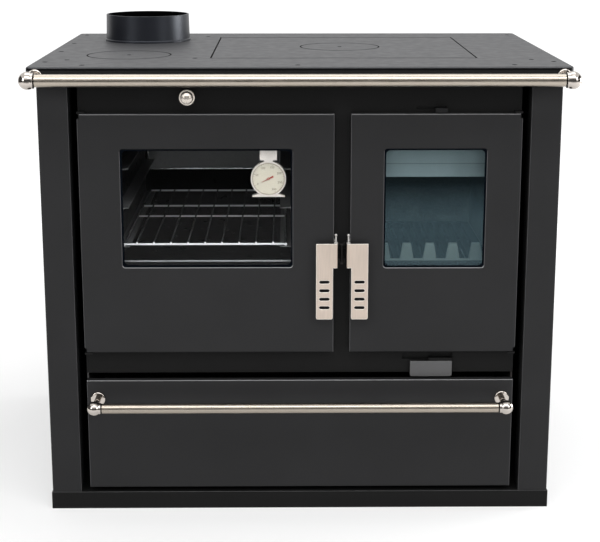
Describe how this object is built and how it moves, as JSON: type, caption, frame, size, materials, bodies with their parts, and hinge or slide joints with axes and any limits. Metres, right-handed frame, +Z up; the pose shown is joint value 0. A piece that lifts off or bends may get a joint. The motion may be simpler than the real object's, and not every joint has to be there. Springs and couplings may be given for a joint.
{
  "type": "wood cookstove",
  "caption": "Wood-burning cookstove with a glazed oven and firebox, lift-off hob plates, front towel rail, pull-out wood drawer and a top flue collar.",
  "frame": {"origin": "centre of the plinth's underside, on the floor, midway between the pillar faces and the rear panel", "axes": "+X to the firebox side across the stove, front faces -Y, +Z up along the flue"},
  "size_m": [0.9044, 0.7045, 0.833],
  "materials": {
    "black_enamel": "satin black stove enamel",
    "fascia_black": "flat black stove paint",
    "raw_steel": "heat-darkened sheet steel",
    "oven_enamel": "dark vitreous enamel",
    "hob_steel": "ground grey steel",
    "brushed_nickel": "brushed warm nickel",
    "plated_steel": "plain zinc plate",
    "tab_steel": "brushed grey steel",
    "chromed_wire": "chromed wire",
    "zinc_screw": "blackened screws",
    "collar_iron": "painted casting",
    "grate_iron": "cast iron, ash-grey",
    "firebrick": "pale vermiculite brick",
    "ash_pan_steel": "galvanised sheet",
    "rope_seal": "glass-fibre rope",
    "door_glass": "clear ceramic glass",
    "dial_face": "printed dial",
    "needle_red": "red painted pointer"
  },
  "bodies": {
    "stove_body": {"plinth": "black_enamel", "left_side_casing": "black_enamel", "right_side_casing": "black_enamel", "rear_panel": "black_enamel", "rear_panel_screws": "zinc_screw", "carcass_walls": "raw_steel", "carcass_deck": "raw_steel", "front_plate": "fascia_black", "door_hinges": "fascia_black", "door_keeper": "plated_steel", "oven_box": "oven_enamel", "oven_runners": "oven_enamel", "oven_rack": "chromed_wire", "firebricks": "firebrick", "grate_frame": "raw_steel", "fire_grate": "grate_iron", "log_retainer": "grate_iron", "ash_compartment_floor": "raw_steel", "ash_pan": "ash_pan_steel", "ash_pan_grip": "ash_pan_steel", "air_wash_duct": "raw_steel", "smoke_divider": "raw_steel", "hob_plate": "hob_steel", "hob_apron": "fascia_black", "hob_ledges": "raw_steel", "hob_screws": "zinc_screw", "flue_collar": "collar_iron", "front_rail": "brushed_nickel", "front_rail_brackets": "brushed_nickel", "drawer_runners": "raw_steel"},
    "oven_door": {"oven_door_panel": "black_enamel", "oven_door_inner_frame": "black_enamel", "oven_door_glass": "door_glass", "oven_door_glass_bars": "raw_steel", "oven_door_seal": "rope_seal", "oven_handle_bracket": "plated_steel", "thermometer_case": "plated_steel", "thermometer_dial": "dial_face"},
    "oven_handle": {"oven_handle": "brushed_nickel"},
    "thermometer_needle": {"thermometer_needle": "needle_red"},
    "fire_door": {"fire_door_panel": "black_enamel", "fire_door_inner_frame": "black_enamel", "fire_door_glass": "door_glass", "fire_door_glass_bars": "raw_steel", "fire_door_seal": "rope_seal", "fire_handle_bracket": "plated_steel"},
    "fire_handle": {"fire_handle": "brushed_nickel"},
    "damper": {"damper_knob": "brushed_nickel", "damper_rod": "plated_steel", "damper_flap": "raw_steel"},
    "primary_air_control": {"primary_air_slide": "fascia_black", "primary_air_tab": "tab_steel"},
    "secondary_air_control": {"secondary_air_slide": "fascia_black"},
    "wood_drawer": {"drawer_front": "black_enamel", "drawer_tray": "raw_steel", "drawer_bar": "brushed_nickel", "drawer_bar_brackets": "brushed_nickel"},
    "hob_insert": {"hob_insert": "hob_steel"},
    "right_lid": {"right_lid": "hob_steel"},
    "left_lid": {"left_lid": "hob_steel"}
  },
  "joints": [
    {"name": "oven_door_hinge", "type": "hinge", "parent": "stove_body", "child": "oven_door", "pos_m": [-0.3645, -0.2955, 0.4945], "axis": [0, 0, -1], "range_deg": [0, 110]},
    {"name": "oven_handle_turn", "type": "hinge", "parent": "oven_door", "child": "oven_handle", "pos_m": [0.0606, -0.3092, 0.461], "axis": [0, 0, 1], "range_deg": [0, 14]},
    {"name": "thermometer_needle_turn", "type": "hinge", "parent": "oven_door", "child": "thermometer_needle", "pos_m": [-0.0534, -0.2852, 0.5893], "axis": [0, 1, 0], "range_deg": [0, 270]},
    {"name": "fire_door_hinge", "type": "hinge", "parent": "stove_body", "child": "fire_door", "pos_m": [0.3645, -0.2955, 0.4945], "axis": [0, 0, 1], "range_deg": [0, 110]},
    {"name": "fire_handle_turn", "type": "hinge", "parent": "fire_door", "child": "fire_handle", "pos_m": [0.0817, -0.3092, 0.461], "axis": [0, 0, -1], "range_deg": [0, 14]},
    {"name": "damper_slide", "type": "slide", "parent": "stove_body", "child": "damper", "axis": [0, -1, 0], "range_m": [0, 0.06]},
    {"name": "primary_air_slide", "type": "slide", "parent": "stove_body", "child": "primary_air_control", "axis": [-1, 0, 0], "range_m": [0, 0.04]},
    {"name": "secondary_air_slide", "type": "slide", "parent": "stove_body", "child": "secondary_air_control", "axis": [-1, 0, 0], "range_m": [0, 0.03]},
    {"name": "wood_drawer_slide", "type": "slide", "parent": "stove_body", "child": "wood_drawer", "axis": [0, -1, 0], "range_m": [0, 0.4]},
    {"name": "hob_insert_lift", "type": "slide", "parent": "stove_body", "child": "hob_insert", "axis": [0, 0, 1], "range_m": [0, 0.12]},
    {"name": "right_lid_lift", "type": "slide", "parent": "hob_insert", "child": "right_lid", "axis": [0, 0, 1], "range_m": [0, 0.08]},
    {"name": "left_lid_lift", "type": "slide", "parent": "stove_body", "child": "left_lid", "axis": [0, 0, 1], "range_m": [0, 0.12]}
  ]
}
